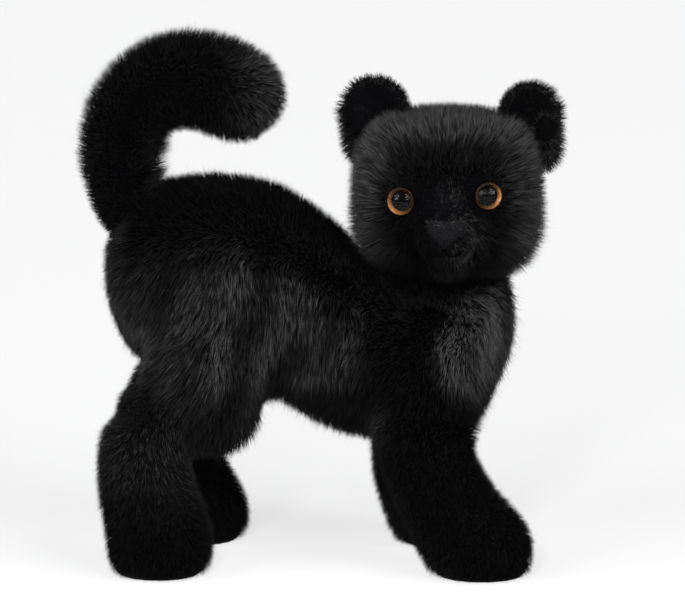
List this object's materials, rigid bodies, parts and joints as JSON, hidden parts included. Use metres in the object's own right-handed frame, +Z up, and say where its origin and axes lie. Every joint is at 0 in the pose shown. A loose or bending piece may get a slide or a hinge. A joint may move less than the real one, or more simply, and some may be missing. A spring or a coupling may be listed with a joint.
{
  "type": "plush cat",
  "caption": "Black plush kitten standing in a walking pose, tail curled over its back, head turned to its right, round ears and domed amber eyes.",
  "frame": {"origin": "on the floor under the middle of the cat's bounding box, soles at z = 0", "axes": "+X is the way the body faces, +Y is the cat's left, +Z is up; at rest the face looks along -Y"},
  "size_m": [0.2277, 0.1171, 0.2565],
  "materials": {
    "long_plush": "long dense pile plush, near black with a cool grey sheen",
    "short_plush": "short dense pile plush, near black",
    "sole_plush": "velvety clipped pile, dark slate",
    "inner_ear": "very short velvety pile, dark slate",
    "nose_cloth": "clipped velvety pile, dark grey",
    "thread": "black embroidery thread",
    "fibrefill": "loose polyester fibre",
    "clear_plastic": "clear moulded acrylic dome",
    "amber_iris": "amber painted ring behind the dome",
    "black_plastic": "glossy black",
    "white_plastic": "natural moulded",
    "steel": "zinc plated"
  },
  "bodies": {
    "torso": {"torso_side_right": "long_plush", "torso_side_left": "long_plush", "torso_belly": "long_plush", "torso_stuffing": "fibrefill", "neck_disc_body": "white_plastic", "neck_lock_washer": "steel", "neck_pin": "steel", "hind_leg_right_skin": "short_plush", "hind_leg_right_stuffing": "fibrefill", "hind_leg_right_sole": "sole_plush", "hind_leg_left_skin": "short_plush", "hind_leg_left_stuffing": "fibrefill", "hind_leg_left_sole": "sole_plush", "front_leg_right_skin": "short_plush", "front_leg_right_stuffing": "fibrefill", "front_leg_right_sole": "sole_plush", "front_leg_left_skin": "short_plush", "front_leg_left_stuffing": "fibrefill", "front_leg_left_sole": "sole_plush"},
    "head": {"neck_disc_head": "white_plastic", "head_side_right": "long_plush", "head_side_left": "long_plush", "head_gusset": "long_plush", "muzzle_panel": "short_plush", "head_stuffing": "fibrefill", "nose_patch": "nose_cloth", "mouth_stitch": "thread", "eye_right_dome": "clear_plastic", "eye_right_iris": "amber_iris", "eye_right_dish": "black_plastic", "eye_right_washer": "white_plastic", "ear_right_outer": "long_plush", "ear_right_inner": "inner_ear", "eye_left_dome": "clear_plastic", "eye_left_iris": "amber_iris", "eye_left_dish": "black_plastic", "eye_left_washer": "white_plastic", "ear_left_outer": "long_plush", "ear_left_inner": "inner_ear"},
    "tail_base": {"tail_base_skin": "long_plush", "tail_base_stuffing": "fibrefill"},
    "tail_tip": {"tail_tip_skin": "long_plush", "tail_tip_stuffing": "fibrefill"}
  },
  "joints": [
    {"name": "head_turn", "type": "hinge", "parent": "torso", "child": "head", "pos_m": [0.061, 0, 0.1433], "axis": [0, 0, 1], "range_deg": [-20, 200]},
    {"name": "tail_sway", "type": "hinge", "parent": "torso", "child": "tail_base", "pos_m": [-0.0915, 0, 0.172], "axis": [1, 0, 0], "range_deg": [-12, 12], "stiffness_Nm_per_rad": 0.25},
    {"name": "tail_curl", "type": "hinge", "parent": "tail_base", "child": "tail_tip", "pos_m": [-0.0956, 0, 0.206], "axis": [0, 1, 0], "range_deg": [-12, 8], "stiffness_Nm_per_rad": 0.2}
  ]
}
